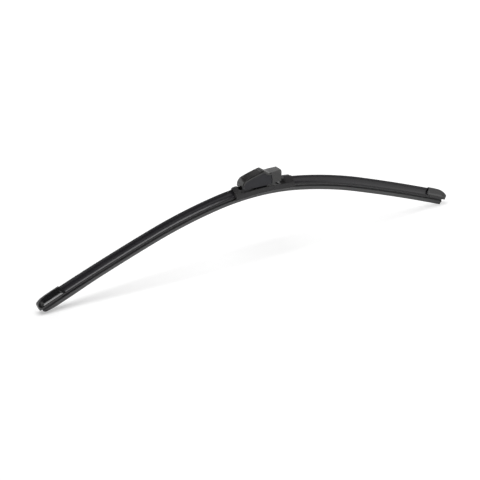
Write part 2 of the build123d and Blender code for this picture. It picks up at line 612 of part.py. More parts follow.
def make_adapter_cover():
    """Domed cover, hinged at the nose, with a rim over the cheeks and an apron beside the arm."""
    whole = cover_outline()
    cover = side_plate(whole, -COVER_HALF, COVER_HALF)
    top_edges = [
        edge for edge in cover.edges()
        if abs(abs(edge.center().Y) - COVER_HALF) < 1e-6 and edge.center().Z > 2 * NOSE_BOTTOM
    ]
    cover = chamfer(top_edges, COVER_EDGE)
    for side in (-1, 1):
        cover = cover - shoulder_wedge(side)

    rim = offset(whole, -COVER_RIM) & hinge_disc(0)
    dome = offset(whole, -COVER_WALL) & hinge_disc(0)
    cover = cover - side_plate(rim, -2 * COVER_HALF, 2 * COVER_HALF)
    cover = cover - side_plate(dome, -CHEEK_INNER, CHEEK_INNER)
    past_rear = 2 * REAR_X
    arm_way = outline([
        (0, 0), (past_rear, 0), (past_rear, ARM_WAY_TOP), (0, ARM_WAY_TOP),
    ])
    apron_way = outline([
        (0, 4 * NOSE_BOTTOM), (past_rear, 4 * NOSE_BOTTOM),
        (past_rear, SHOULDER_BOTTOM_Z), (0, SHOULDER_BOTTOM_Z),
    ])
    cover = cover - side_plate(arm_way, -TAIL_INNER, TAIL_INNER)
    cover = cover - side_plate(apron_way - hinge_disc(0), -APRON_INNER, APRON_INNER)
    below = outline([
        (2 * NOSE_X, NOSE_BOTTOM), (APRON_X, NOSE_BOTTOM), (APRON_X, APRON_FRONT_Z),
        (REAR_X, APRON_REAR_Z), (2 * REAR_X, APRON_REAR_Z), (2 * REAR_X, 4 * NOSE_BOTTOM),
        (2 * NOSE_X, 4 * NOSE_BOTTOM),
    ])
    cover = cover - side_plate(below, -2 * COVER_HALF, 2 * COVER_HALF)
    nose_corner = outline([
        (2 * NOSE_X, 2 * NOSE_BOTTOM), (HINGE_X, 2 * NOSE_BOTTOM), (HINGE_X, HINGE_Z), (2 * NOSE_X, HINGE_Z),
    ])
    nose_corner = nose_corner - Pos(HINGE_X, HINGE_Z) * Circle(HINGE_X - NOSE_X)
    cover = cover - side_plate(nose_corner, -2 * COVER_HALF, 2 * COVER_HALF)

    lobe_room = Pos(HINGE_X, HINGE_Z) * Circle(HINGE_LOBE_RADIUS + PARTING_GAP)
    lobe_room = lobe_room + outline([
        (2 * NOSE_X, 2 * NOSE_BOTTOM), (0, 2 * NOSE_BOTTOM), (0, HINGE_Z), (2 * NOSE_X, HINGE_Z),
    ])
    cover = cover - both_cheeks(lobe_room, CHEEK_INNER - PARTING_GAP, 2 * COVER_HALF)
    barrel_half = CHEEK_INNER - PARTING_GAP
    cover = cover + cross_rod(HINGE_X, HINGE_Z, HINGE_BARREL_RADIUS, -barrel_half, barrel_half)
    cover = cover + cross_rod(HINGE_X, HINGE_Z, HINGE_PIN_RADIUS, -CHEEK_OUTER, CHEEK_OUTER)

    rib_right = -BARREL_RADIUS - HOOK_THICK - STOP_RIB_GAP
    rib = whole & outline([
        (rib_right - STOP_RIB_THICK, STOP_RIB_BOTTOM), (rib_right, STOP_RIB_BOTTOM),
        (rib_right, 2 * CREST[1]), (rib_right - STOP_RIB_THICK, 2 * CREST[1]),
    ])
    cover = cover + side_plate(rib, -STOP_RIB_HALF, STOP_RIB_HALF)

    for index in range(GRIP_RIB_COUNT):
        x = CREST[0] - index * GRIP_RIB_PITCH
        foot = CREST[1] - 2 * GRIP_RIB_HEIGHT
        rib = outline([
            (x - GRIP_RIB_HEIGHT, foot), (x + GRIP_RIB_HEIGHT, foot),
            (x + GRIP_RIB_HEIGHT / 3, CREST[1]), (x - GRIP_RIB_HEIGHT / 3, CREST[1]),
        ])
        cover = cover + side_plate(rib, -GRIP_RIB_HALF, GRIP_RIB_HALF)
    return cover


parts = {
    "wiper_rubber": make_rubber(),
    "rail_front": make_rail(-1),
    "rail_rear": make_rail(1),
    "spoiler_left": make_spoiler(-1),
    "spoiler_right": make_spoiler(1),
    "end_cap_left": make_end_cap(-1),
    "end_cap_right": make_end_cap(1),
    "rail_bracket": make_bracket(),
    "pivot_rivet": make_rivet(),
    "connector_cover": make_connector(),
    "adapter_body": make_adapter_body(),
    "adapter_cover": make_adapter_cover(),
}

os.makedirs("parts", exist_ok=True)
for node, shape in parts.items():
    export_step(shape, f"parts/{node}.step")
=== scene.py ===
"""Looks of an arched beam wiper blade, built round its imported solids.

Lengths are in metres, or in millimetres where a comment or a docstring says so, in the frame of the
solids: +X along the blade, +Z away from the glass, and the hollow face of the spoiler towards -Y. A section
is drawn across the blade: its first number is Y and its second the height above the middle of the rails.
"""

from math import radians

import bmesh
import bpy
import numpy as np
from bpy.props import FloatProperty, FloatVectorProperty, IntProperty, PointerProperty
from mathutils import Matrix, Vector


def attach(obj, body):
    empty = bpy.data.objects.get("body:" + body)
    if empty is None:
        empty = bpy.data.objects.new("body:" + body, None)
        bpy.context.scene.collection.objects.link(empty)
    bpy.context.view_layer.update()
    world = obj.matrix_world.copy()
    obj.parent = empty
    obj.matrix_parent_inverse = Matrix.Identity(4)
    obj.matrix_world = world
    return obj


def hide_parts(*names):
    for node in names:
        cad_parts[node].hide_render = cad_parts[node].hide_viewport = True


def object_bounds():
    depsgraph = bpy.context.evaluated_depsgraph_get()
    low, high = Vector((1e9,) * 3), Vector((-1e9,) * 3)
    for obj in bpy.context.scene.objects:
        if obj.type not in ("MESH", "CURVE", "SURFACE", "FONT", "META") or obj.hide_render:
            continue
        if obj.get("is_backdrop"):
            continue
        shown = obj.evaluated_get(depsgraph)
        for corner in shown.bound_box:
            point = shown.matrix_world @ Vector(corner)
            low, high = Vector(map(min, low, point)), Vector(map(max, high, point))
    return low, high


bl_info = {
    "name": "Beam Wiper Blade",
    "version": (1, 0, 0),
    "blender": (4, 5, 0),
    "location": "View3D > Sidebar > Wiper",
    "description": "Pieces and finishes of an arched beam wiper blade",
    "category": "Add Mesh",
}

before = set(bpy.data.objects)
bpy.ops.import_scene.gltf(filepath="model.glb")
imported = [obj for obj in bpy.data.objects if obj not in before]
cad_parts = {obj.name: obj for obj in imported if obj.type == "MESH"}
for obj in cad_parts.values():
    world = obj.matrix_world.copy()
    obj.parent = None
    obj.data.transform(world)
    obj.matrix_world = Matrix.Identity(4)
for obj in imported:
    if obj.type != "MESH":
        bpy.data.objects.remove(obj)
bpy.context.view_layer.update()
MM = 0.001

# Lip near the tips: its lean to the front, its turn back at the left tip, and its corner there.
NECK_MIDDLE = -2.6 * MM
TURN_EASE = 1.5 * MM
LEAN_LEFT = radians(13)
LEAN_RIGHT = radians(3)
LEAN_START = 0.075
LEAN_EASE = 0.05
CURL_LEFT = radians(20)
CURL_START = 0.016
LIP_CORNER = 4.5 * MM

# Arc lengths of the spoilers' ends, inside the caps and the connector's collars, and of the web's foot.
SPOILER_RUNS = {"left": (-0.2775, -0.0322), "right": (0.035, 0.2745)}
WEB_FOOT = -0.0312

# Caps, in millimetres: the section's main points, lengths from the tip, corners and the nose's curve.
CAP_RIDGE = (-5.0, 2.85)
CAP_CREST = 10.55
CAP_BOTTOM = -1.0
CAP_HALF_WIDTH = 5.4
CAP_LENGTH = 36.0
CAP_RAKE = 4.0
CAP_OVERHANG = 3.4
CAP_RIM = 0.9
PLAN_CORNER = 4.0
SLEEVE_END = 29.85
TIP_WALL = 3.85
NOSE_LENGTH = 20.0
NOSE_LOW = 2.0
NOSE_POWER = 2.4

# Span that most of a noise's values lie in, and the lamp's place.
NOISE_SPAN = (0.3, 0.7)
LAMP = (-0.4, -0.06, 1.0)


class WiperSizes(bpy.types.PropertyGroup):
    """Sizes that the rubber, the spoilers, the caps and the connector share."""

    blade_length: FloatProperty(
        name="Blade length", description="Length of the rubber along the arch", default=0.604,
        unit="LENGTH")
    arch_radius: FloatProperty(
        name="Arch radius", description="Radius of the arch in the middle", default=0.2834, unit="LENGTH")
    arch_fade: FloatProperty(
        name="Arch fade", description="How fast the curvature fades towards the ends", default=1.8)
    end_shift: FloatProperty(
        name="End shift", description="How much longer the left half is than the mean", default=0.0015,
        unit="LENGTH")
    pivot_height: FloatProperty(
        name="Pivot height", description="Pivot's height above the rails", default=0.012, unit="LENGTH")
    fin_height: FloatProperty(
        name="Fin height", description="Spoiler's height above its foot", default=0.00755, unit="LENGTH")
    fin_hollow: FloatProperty(
        name="Fin hollow", description="Depth of the hollow in the spoiler's front", default=0.00115,
        unit="LENGTH")
    stations: IntProperty(
        name="Stations", description="Sections along the whole blade", default=241, min=25, max=600)


class WiperFinish(bpy.types.PropertyGroup):
    """Colours of the finishes."""

    rubber: FloatVectorProperty(
        name="Rubber", description="Wiping rubber", subtype="COLOR", default=(0.034, 0.034, 0.035))
    spoiler: FloatVectorProperty(
        name="Spoiler", description="Soft spoiler", subtype="COLOR", default=(0.016, 0.015, 0.018))
    caps: FloatVectorProperty(
        name="Caps", description="Moulded end caps", subtype="COLOR", default=(0.006, 0.006, 0.0065))
    connector: FloatVectorProperty(
        name="Connector", description="Moulded connector", subtype="COLOR", default=(0.022, 0.021, 0.022))
    adapter: FloatVectorProperty(
        name="Adapter", description="Cheeks of the adapter", subtype="COLOR", default=(0.020, 0.020, 0.026))
    cover: FloatVectorProperty(
        name="Cover", description="Flip cover", subtype="COLOR", default=(0.008, 0.0075, 0.007))
    steel: FloatVectorProperty(
        name="Steel", description="Rails and rivet", subtype="COLOR", default=(0.45, 0.45, 0.46))
    coat: FloatVectorProperty(
        name="Black coat", description="Coat of the bracket", subtype="COLOR",
        default=(0.006, 0.006, 0.006))
    floor: FloatVectorProperty(
        name="Floor", description="Pale studio floor", subtype="COLOR", default=(0.93, 0.93, 0.93))


def sizes():
    """The sizes in use."""
    return bpy.context.scene.wiper_sizes


def finish_colour(name):
    """One of the finish colours as red, green, blue and alpha."""
    return (*getattr(bpy.context.scene.wiper_finish, name), 1.0)


def spine(s):
    """Points and downward angles of the spine at arc lengths s.

    Each half is three arcs that meet without a corner. The angle at an arc's end is L / (R (f + 1)) times
    1 - (1 - share) ** (f + 1), and the rubber's end runs on straight.
    """
    half = sizes().blade_length / 2
    power = sizes().arch_fade + 1
    share = np.array([0.0, 0.2, 0.5, 1.0])
    knots = half * share
    angle_at = half / (sizes().arch_radius * power) * (1 - (1 - share) ** power)
    bend = np.diff(angle_at) / np.diff(knots)
    reach = np.abs(s)[..., None]
    run = np.clip(reach - knots[:-1], 0, np.diff(knots))
    before = angle_at[:-1]
    after = before + bend * run
    angle = (bend * run).sum(-1)
    beyond = np.maximum(np.abs(s) - half, 0)
    x = ((np.sin(after) - np.sin(before)) / bend).sum(-1) + beyond * np.cos(angle)
    z = ((np.cos(after) - np.cos(before)) / bend).sum(-1) - beyond * np.sin(angle)
    sign = np.where(s < 0, -1.0, 1.0)
    return sign * x, z - sizes().pivot_height, sign * angle


def eased(points, radii, steps=6):
    """Closed outline whose corners are eased.

    A corner becomes the quadratic curve that starts one radius before it and ends one radius after it, with
    the corner as its control point. A radius takes at most 0.45 of an edge.
    """
    corner = np.asarray(points, float)
    back = np.roll(corner, 1, 0) - corner
    ahead = np.roll(corner, -1, 0) - corner
    back_length = np.linalg.norm(back, axis=1, keepdims=True)
    ahead_length = np.linalg.norm(ahead, axis=1, keepdims=True)
    reach = np.broadcast_to(np.asarray(radii, float), len(corner))[:, None]
    first = corner + back / back_length * np.minimum(reach, 0.45 * back_length)
    last = corner + ahead / ahead_length * np.minimum(reach, 0.45 * ahead_length)
    t = np.linspace(0, 1, steps)[None, :, None]
    curve = (1 - t) ** 2 * first[:, None] + 2 * t * (1 - t) * corner[:, None] + t**2 * last[:, None]
    return curve.reshape(-1, 2)


def divided(outline, spacing):
    """Closed outline with points added evenly on its long edges: none is longer than the spacing."""
    edge = np.roll(outline, -1, 0) - outline
    count = np.maximum(np.ceil(np.linalg.norm(edge, axis=1) / spacing).astype(int), 1)
    which = np.repeat(np.arange(len(outline)), count)
    start = np.repeat(np.cumsum(count) - count, count)
    share = (np.arange(count.sum()) - start) / count[which]
    return outline[which] + share[:, None] * edge[which]


def sagged(first, last, depth, steps=13):
    """Points of a parabola from first to last whose middle lies depth to the right of the straight line."""
    first, last = np.asarray(first), np.asarray(last)
    along = last - first
    aside = np.array([along[1], -along[0]]) / np.linalg.norm(along)
    t = np.linspace(0, 1, steps)[:, None]
    return first + t * along + 4 * depth * t * (1 - t) * aside


def soft_least(first, second, ease):
    """The lesser of two values, with the change from one to the other eased."""
    return -ease * np.logaddexp(-first / ease, -second / ease)


def smooth_step(value):
    """Ease from 0 to 1 as the value goes from 0 to 1: 3 v v - 2 v v v."""
    v = np.clip(value, 0, 1)
    return v * v * (3 - 2 * v)


def corner_inset(distance, radius):
    """How far a round corner stands back at a distance d from the end: r - sqrt(r r - (r - d) ** 2)."""
    short = np.clip(radius - distance, 0, radius)
    return radius - np.sqrt(radius**2 - short**2)


def placed(name, data):
    """Object with the given data, linked to the scene."""
    thing = bpy.data.objects.new(name, data)
    bpy.context.scene.collection.objects.link(thing)
    return thing


def shaded(mesh, sharp, material):
    """Give a mesh its material and smooth shading, with the edges above an angle left sharp."""
    mesh.polygons.foreach_set("use_smooth", np.ones(len(mesh.polygons), bool))
    mesh.set_sharp_from_angle(angle=sharp)
    mesh.materials.append(material)
    mesh.update()


def handed_over(piece, body, node):
    """Let a piece ride on a body, and hide the solid that it stands for."""
    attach(piece, body)
    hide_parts(node)


def new_piece(name, vertices, faces, uv, body, slot, node, material):
    """Mesh object at the origin that rides on a body and stands for a solid."""
    mesh = bpy.data.meshes.new(name)
    mesh.from_pydata(vertices, [], faces)
    mesh.uv_layers.new(name="run").data.foreach_set("uv", np.asarray(uv, np.float32).ravel())
    shaded(mesh, radians(40), material)
    piece = placed(name, mesh)
    weighted = piece.modifiers.new("even shading", "WEIGHTED_NORMAL")
    weighted.keep_sharp = True
    handed_over(piece, body, node)


def loft(sections, s):
    """Closed skin through sections along the spine, as vertices, faces and corner coordinates.

    A point (y, h) of the section at arc length s lies at the spine's point plus y along Y and h along the
    spine's normal (sin a, 0, cos a). The outlines turn left, and both ends are closed by one face each.
    There is one s for each section, or one for each point where an end is raked.
    """
    count, around = sections.shape[:2]
    s = np.broadcast_to(s.reshape(count, -1), (count, around))
    x, z, angle = spine(s)
    y, h = sections[..., 0], sections[..., 1]
    points = np.stack([x + h * np.sin(angle), y, z + h * np.cos(angle)], -1)
    index = np.arange(count * around).reshape(count, around)
    beside = np.roll(index, -1, 1)
    quads = np.stack([index[:-1], beside[:-1], beside[1:], index[1:]], -1).reshape(-1, 4)
    faces = quads.tolist() + [index[0, ::-1].tolist(), index[-1].tolist()]
    step = np.linalg.norm(np.roll(sections[0], -1, 0) - sections[0], axis=1)
    girth = np.concatenate([[0], np.cumsum(step)])
    low = np.broadcast_to(girth[:-1], (count - 1, around))
    high = np.broadcast_to(girth[1:], (count - 1, around))
    aside = np.roll(s, -1, 1)
    corners = np.stack([
        np.stack([s[:-1], low], -1), np.stack([aside[:-1], high], -1),
        np.stack([aside[1:], high], -1), np.stack([s[1:], low], -1),
    ], 2)
    uv = np.concatenate([corners.reshape(-1, 2), sections[0, ::-1], sections[-1]])
    return points.reshape(-1, 3), faces, uv


def joined(*skins):
    """Several skins as one."""
    starts = np.cumsum([0] + [len(skin[0]) for skin in skins])
    vertices = np.concatenate([skin[0] for skin in skins])
    faces = [[i + start for i in face] for skin, start in zip(skins, starts) for face in skin[1]]
    return vertices, faces, np.concatenate([skin[2] for skin in skins])


def channel():
    """Space for the rails and the rubber's head, from its mouth's left edge round, in millimetres."""
    half = [(2.7, -0.6), (3.45, -0.6), (3.45, 0.6), (2.15, 0.6), (2.15, 1.9)]
    return [(-y, h) for y, h in half] + half[::-1]


def rubber_section():
    """Lip, wings, neck, heel, flange, grooves and head of the rubber, with soft corners."""
    half = [
        (0.3, -9.4), (0.7, -6.4), (2.1, -5.025), (2.1, -4.4), (0.5, -2.85), (0.5, -2.2), (2.4, -1.55),
        (2.4, -0.55), (0.85, -0.55), (0.85, 0.55), (1.9, 0.55), (1.9, 1.65),
    ]
    radii = [0.12, 1.2, 0.3, 0.3, 0.3, 0.3, 0.4, 0.15, 0.15, 0.15, 0.15, 0.35]
    points = half + [(-y, h) for y, h in reversed(half)]
    outline = eased(points, radii + radii[::-1], 5)
    return divided(outline, 0.7) * MM


def rubber_sections(s):
    """Rubber's sections at arc lengths s, with the lip laid over near the tips that it stands on.

    What lies below the neck turns about the neck's middle. The angle eases in to LEAN_LEFT or LEAN_RIGHT,
    towards the front, and is less by CURL_LEFT at the left tip. At the left end the depth below the neck
    shrinks as a quarter circle does, so the lip's corner is rounded.
    """
    y, h = rubber_section().T
    below = smooth_step((NECK_MIDDLE - h) / TURN_EASE)
    inside = sizes().blade_length / 2 - np.abs(s)
    lean = np.where(s < 0, LEAN_LEFT, LEAN_RIGHT) * smooth_step((LEAN_START - inside) / LEAN_EASE)
    curl = np.where(s < 0, CURL_LEFT, 0.0) * smooth_step(1 - inside / CURL_START)
    angle = (lean - curl)[:, None] * below
    shrunk = 1 - corner_inset(s - s[0], LIP_CORNER)[:, None] / (NECK_MIDDLE - h.min())
    rise = h - NECK_MIDDLE
    rise = np.where(rise < 0, rise * shrunk, rise)
    aside = y * np.cos(angle) + rise * np.sin(angle)
    return np.stack([aside, rise * np.cos(angle) - y * np.sin(angle) + NECK_MIDDLE], -1)


def spoiler_section():
    """Spoiler's section: outside with a hollow front, and the channel, with eased ridges and crest."""
    foot = 1.8
    top = foot + sizes().fin_height / MM
    hollow = sagged((0.7, top - 0.3), (-3.8, foot), -sizes().fin_hollow / MM)
    points = [(4.2, -0.3), (4.2, foot - 0.4), (1.9, top - 0.3), (1.6, top), (1.0, top)]
    radii = [0.15, 0.5, 0.25, 0.2, 0.2]
    points = points + hollow.tolist()
    radii = radii + [0.25] + [0.15] * (len(hollow) - 2) + [0.35]
    points = points + [(-4.2, foot - 0.4), (-4.2, -0.3), (-2.7, -0.95)]
    radii = radii + [0.35, 0.15, 0.1]
    space = channel()
    points = points + space + [(2.7, -0.95)]
    radii = radii + [0.05] * len(space) + [0.1]
    return divided(eased(points, radii, 5), 0.7) * MM


def stations(start, end):
    """Arc lengths from start to end, about 2.5 mm apart."""
    pitch = sizes().blade_length / (sizes().stations - 1)
    return np.linspace(start, end, max(int(np.ceil((end - start) / pitch)) + 1, 2))


def straight_run(section, start, end):
    """One section carried along the spine from start to end."""
    s = stations(start, end)
    return loft(np.broadcast_to(section, (len(s), *section.shape)), s)


def cap_outline(space):
    """Cap's section round a space left open at its bottom, with eased corners, in millimetres.

    The front falls steeply from the crest, runs out over a shelf to the ridge, and is cut back under it.
    """
    side = CAP_HALF_WIDTH
    shelf = sagged((-2.6, 4.35), CAP_RIDGE, -0.12, 7).tolist()
    outside = [(4.5, CAP_BOTTOM), (side, -0.1), (side, 2.0), (2.5, 9.95)]
    outside = outside + [(1.9, CAP_CREST), (0.7, CAP_CREST), (0.1, 9.95)]
    outside = outside + shelf + [(-side, 2.3), (-side, 1.5), (-5.1, 1.1)]
    radii = [0.4, 0.4, 0.6, 0.4, 0.3, 0.3, 0.4, 0.9] + [0.2] * (len(shelf) - 2) + [0.3, 0.4, 0.3, 0.3]
    return divided(eased(outside + space, radii + [0.08] * len(space), 5), 0.35)


def cap_reach(height):
    """Distance from the tip to the cap's inner end: longest at the ridge, and raked above and below it."""
    ridge = CAP_RIDGE[1]
    above = (height - ridge) / (CAP_CREST - ridge)
    below = (ridge - height) / (ridge - CAP_BOTTOM)
    return CAP_LENGTH - CAP_RAKE * np.clip(np.maximum(above, below), 0, 1)


def cap_sections(outline, ahead):
    """Cap's sections at distances ahead (stations by points) from the tip, in millimetres.

    Towards both ends the hollow front is filled up to the straight line from ridge to crest. The height
    stays under the nose, which rises from NOSE_LOW to the crest by (1 - left ** p) ** (1 / p), where left is
    1 - ahead / length. The width follows a rounded corner in plan, and the rim of the end is rounded.
    """
    y, h = np.broadcast_to(outline, (*ahead.shape, 2)).transpose(2, 0, 1)
    along, inward = np.array([0.5834, 0.8122]), np.array([0.8122, -0.5834])
    front_length = 8.742
    over, up = y - CAP_RIDGE[0], h - CAP_RIDGE[1]
    t = (over * along[0] + up * along[1]) / front_length
    off = over * inward[0] + up * inward[1]
    on_face = (off > -0.3) & (off < 1.25 - 0.5 * t) & (t > 0) & (t < 1)
    ends = smooth_step((cap_reach(h) - ahead - 1.5) / 3.5) * smooth_step((ahead - 4.0) / 5.0)
    filled = off * (1 - ends) * on_face
    y, h = y - filled * inward[0], h - filled * inward[1]

    inset = corner_inset(ahead, CAP_RIM)
    left = 1 - np.minimum(ahead, NOSE_LENGTH) / NOSE_LENGTH
    nose = NOSE_LOW + (CAP_CREST - NOSE_LOW) * (1 - left**NOSE_POWER) ** (1 / NOSE_POWER)
    nose = nose + np.maximum(ahead - NOSE_LENGTH, 0)
    width = CAP_HALF_WIDTH - corner_inset(ahead, PLAN_CORNER) - inset
    h = soft_least(h, nose - inset, 0.2)
    h = np.maximum(h, CAP_BOTTOM + inset)
    y = np.sign(y) * np.minimum(np.abs(y), width)
    return np.stack([y, h], -1)


def cap_skin(side):
    """Skin of the left (-1) or right (+1) cap: sleeve round the spoiler, part over the rails, and tip."""
    socket = [
        (-4.35, 0.9), (-4.35, 1.45), (-3.92, 1.92), (0.57, 9.14), (0.92, 9.5), (1.68, 9.5), (2.03, 9.1),
        (4.35, 1.45), (4.35, -0.51), (3.86, CAP_BOTTOM),
    ]
    under = [(-3.75, 0.65), (-3.75, CAP_BOTTOM)]
    over_rails = under + [(-2.7, CAP_BOTTOM)] + channel() + [(2.7, CAP_BOTTOM)]
    sleeve, body, tip = cap_outline(socket), cap_outline(over_rails), cap_outline(under)
    coarse, fine, medium = (np.linspace(0, 1, count)[:, None] for count in (15, 60, 20))
    start = cap_reach(sleeve[:, 1])[None]
    runs = [
        (sleeve, start + coarse * (SLEEVE_END - start)),
        (body, SLEEVE_END + fine * (TIP_WALL - SLEEVE_END)),
        (tip, TIP_WALL * (1 - medium) ** 2),
    ]
    end = sizes().blade_length / 2 / MM - side * sizes().end_shift / MM + CAP_OVERHANG
    skins = []
    for outline, ahead in runs:
        ahead = np.broadcast_to(ahead, (len(ahead), len(outline)))
        sections, s = cap_sections(outline, ahead) * MM, (end - ahead) * MM
        skins.append(loft(sections, s) if side > 0 else loft(sections[::-1], -s[::-1]))
    return joined(*skins)


def new_material(name):
    """Empty node material, its nodes and links, and its Principled shader."""
    material = bpy.data.materials.new(name)
    material.use_nodes = True
    nodes = material.node_tree.nodes
    return material, nodes, material.node_tree.links, nodes["Principled BSDF"]


def scaled_noise(nodes, links, coords, stretch, scale, detail, name):
    """Noise whose pattern is stretched along the axes of the coordinates."""
    mapping = nodes.new("ShaderNodeMapping")
    mapping.name = name + " mapping"
    mapping.inputs["Scale"].default_value = stretch
    links.new(coords, mapping.inputs["Vector"])
    noise = nodes.new("ShaderNodeTexNoise")
    noise.name = name
    noise.inputs["Scale"].default_value = scale
    noise.inputs["Detail"].default_value = detail
    links.new(mapping.outputs["Vector"], noise.inputs["Vector"])
    return noise.outputs["Fac"]


def mapped(nodes, links, value, span, result, interpolation="LINEAR"):
    """Value mapped from the two ends of a span to the two ends of the result."""
    node = nodes.new("ShaderNodeMapRange")
    node.interpolation_type = interpolation
    for name, number in zip(("From Min", "From Max", "To Min", "To Max"), (*span, *result)):
        node.inputs[name].default_value = number
    links.new(value, node.inputs["Value"])
    return node.outputs["Result"]


def measured(nodes, links, vector, operation, other):
    """A vector's dot product with another vector, or its distance from it."""
    node = nodes.new("ShaderNodeVectorMath")
    node.operation = operation
    node.inputs[1].default_value = other
    links.new(vector, node.inputs[0])
    return node.outputs["Value"]


def varied_colour(nodes, links, shader, value, colour, share):
    """Base colour that a pattern makes lighter and darker by a share."""
    mix = nodes.new("ShaderNodeMix")
    mix.data_type = "RGBA"
    mix.inputs["A"].default_value = (*(c * (1 - share) for c in colour[:3]), 1.0)
    mix.inputs["B"].default_value = (*(c * (1 + share) for c in colour[:3]), 1.0)
    links.new(value, mix.inputs["Factor"])
    links.new(mix.outputs["Result"], shader.inputs["Base Color"])


def bumped(nodes, links, shader, height, strength, distance):
    """Bump from a height pattern."""
    bump = nodes.new("ShaderNodeBump")
    bump.inputs["Strength"].default_value = strength
    bump.inputs["Distance"].default_value = distance
    links.new(height, bump.inputs["Height"])
    links.new(bump.outputs["Normal"], shader.inputs["Normal"])


def extruded_finish(name, colour, rough, lines, shine):
    """Extruded rubber: fine lines along the run, a faint cloudiness and a little sheen of talc."""
    material, nodes, links, shader = new_material(name)
    coords = nodes.new("ShaderNodeTexCoord").outputs["UV"]
    fine = scaled_noise(nodes, links, coords, (6.0, 2600.0, 1.0), 1.0, 3.0, "extrusion lines")
    cloud = scaled_noise(nodes, links, coords, (40.0, 260.0, 1.0), 1.0, 4.0, "cloudiness")
    gloss = mapped(nodes, links, cloud, NOISE_SPAN, (rough - 0.05, rough + 0.05))
    varied_colour(nodes, links, shader, cloud, colour, share=0.22)
    links.new(gloss, shader.inputs["Roughness"])
    bumped(nodes, links, shader, fine, strength=lines, distance=0.00008)
    shader.inputs["Specular IOR Level"].default_value = shine
    return material


def moulded_finish(name, colour, rough, grain, shine=0.5):
    """Moulded plastic: fine spark-eroded grain, slow changes of gloss, and a trace of flow lines."""
    material, nodes, links, shader = new_material(name)
    coords = nodes.new("ShaderNodeTexCoord").outputs["Object"]
    fine = scaled_noise(nodes, links, coords, (1.0, 1.0, 1.0), 2600.0, 2.0, "grain")
    slow = scaled_noise(nodes, links, coords, (40.0, 90.0, 90.0), 1.0, 3.0, "flow")
    gloss = mapped(nodes, links, slow, NOISE_SPAN, (rough - 0.05, rough + 0.05))
    varied_colour(nodes, links, shader, slow, colour, share=0.18)
    links.new(gloss, shader.inputs["Roughness"])
    bumped(nodes, links, shader, fine, strength=grain, distance=0.00006)
    shader.inputs["Specular IOR Level"].default_value = shine
    return material


def steel_finish(name, colour, rough, metallic):
    """Rolled steel: long drawn lines and slight stains."""
    material, nodes, links, shader = new_material(name)
    coords = nodes.new("ShaderNodeTexCoord").outputs["Object"]
    drawn = scaled_noise(nodes, links, coords, (20.0, 3000.0, 1500.0), 1.0, 3.0, "drawn lines")
    stain = scaled_noise(nodes, links, coords, (60.0, 60.0, 60.0), 1.0, 3.0, "stains")
    gloss = mapped(nodes, links, drawn, NOISE_SPAN, (rough - 0.06, rough + 0.1))
    varied_colour(nodes, links, shader, stain, colour, share=0.15)
    links.new(gloss, shader.inputs["Roughness"])
    bumped(nodes, links, shader, drawn, strength=0.15, distance=0.00002)
    shader.inputs["Metallic"].default_value = metallic
    return material


def front_shade(nodes, links, vector, span, least):
    """Factor that falls from 1 to the least as a vector reaches further towards the viewer's side."""
    reach = measured(nodes, links, vector, "DOT_PRODUCT", (-0.3, -0.954, 0.0))
    return mapped(nodes, links, reach, span, (1.0, least), "SMOOTHSTEP")


def gusset_web():
    """Mesh of a web on the connector's rear wall, level behind the nose and then sloping down.

    Its side view in X and Z stands on the spine at the web's foot. It is carried along Y from the wall's
    inner face to its outer one, and closed by one face at each end.
    """
    x, z, _ = spine(np.array([WEB_FOOT]))
    side = np.array([(0.0, 2.4), (10.0, 2.4), (10.5, 4.7), (4.6, 7.9), (0.0, 8.4)]) * MM
    side = side + np.stack([x, z], -1)
    inner, outer = (np.insert(side, 1, y * MM, axis=1) for y in (7.5, 8.3))
    index = np.arange(len(side))
    beside = np.roll(index, -1)
    around = np.stack([index, index + len(side), beside + len(side), beside], -1)
    ends = [index.tolist(), (index[::-1] + len(side)).tolist()]
    mesh = bpy.data.meshes.new("gusset web")
    mesh.from_pydata(np.concatenate([inner, outer]), [], ends + around.tolist())
    return mesh


def moulded_copy(node, name, body, material, width, extra=None):
    """Merged copy of a solid's skin with its sharp edges rounded, which stands for the solid."""
    copy = bmesh.new()
    copy.from_mesh(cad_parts[node].data)
    if extra:
        copy.from_mesh(extra)
        bpy.data.meshes.remove(extra)
    bmesh.ops.remove_doubles(copy, verts=copy.verts, dist=1e-6)
    bmesh.ops.dissolve_limit(copy, angle_limit=radians(0.4), verts=copy.verts, edges=copy.edges)
    mesh = bpy.data.meshes.new(name)
    copy.to_mesh(mesh)
    copy.free()
    sharp = radians(32)
    shaded(mesh, sharp, material)
    piece = placed(name, mesh)
    bevel = piece.modifiers.new("eased edges", "BEVEL")
    bevel.width = width
    bevel.segments = 3
    bevel.limit_method = "ANGLE"
    bevel.angle_limit = sharp
    bevel.harden_normals = True
    handed_over(piece, body, node)


class WIPER_OT_rubber(bpy.types.Operator):
    """Sweep the wiping rubber along the arch."""

    bl_idname = "wiper.rubber"
    bl_label = "Wiping Rubber"

    def execute(self, context):
        half, shift = sizes().blade_length / 2, sizes().end_shift
        colour = finish_colour("rubber")
        material = extruded_finish("wiping rubber", colour, rough=0.42, lines=0.35, shine=1.0)
        s = stations(-half - shift, half - shift)
        corner = s[0] + LIP_CORNER * (1 - np.cos(np.radians(np.linspace(0, 90, 10))))
        s = np.unique(np.concatenate([s, corner]).round(7))
        skin = loft(rubber_sections(s), s)
        new_piece("wiping_rubber", *skin, "blade", "rubber", "wiper_rubber", material)
        return {"FINISHED"}


class WIPER_OT_spoilers(bpy.types.Operator):
    """Sweep a spoiler along each half."""

    bl_idname = "wiper.spoilers"
    bl_label = "Spoilers"

    def execute(self, context):
        material = extruded_finish("spoiler", finish_colour("spoiler"), rough=0.24, lines=0.3, shine=0.5)
        for name, (start, end) in SPOILER_RUNS.items():
            skin = straight_run(spoiler_section(), start, end)
            new_piece(f"spoiler_fin_{name}", *skin, "blade", "spoiler", f"spoiler_{name}", material)
        return {"FINISHED"}


